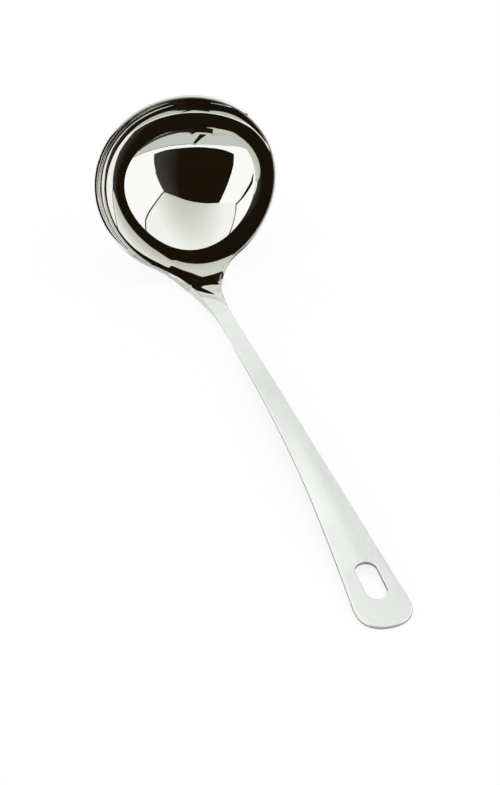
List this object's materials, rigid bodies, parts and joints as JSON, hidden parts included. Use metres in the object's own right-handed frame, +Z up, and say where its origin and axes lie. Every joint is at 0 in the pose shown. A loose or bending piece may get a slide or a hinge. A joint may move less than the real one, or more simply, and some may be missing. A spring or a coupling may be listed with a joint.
{
  "type": "soup ladle",
  "caption": "Polished steel soup ladle: round drawn bowl with an upswept neck, slim crowned handle that widens to a flat rounded end with a hang slot.",
  "frame": {"origin": "middle of the bounding box in X and Y, on the surface that the ladle lies on", "axes": "+Z up as the ladle lies on a table, -Y along the handle towards its slotted end, X across the handle; the bowl's mouth faces the handle's end and slightly up"},
  "size_m": [0.092, 0.315, 0.0849],
  "materials": {
    "mirror_steel": "mirror-polished stainless steel",
    "satin_steel": "finely polished stainless steel"
  },
  "bodies": {
    "root": {"bowl": "mirror_steel", "handle": "satin_steel"}
  },
  "joints": []
}
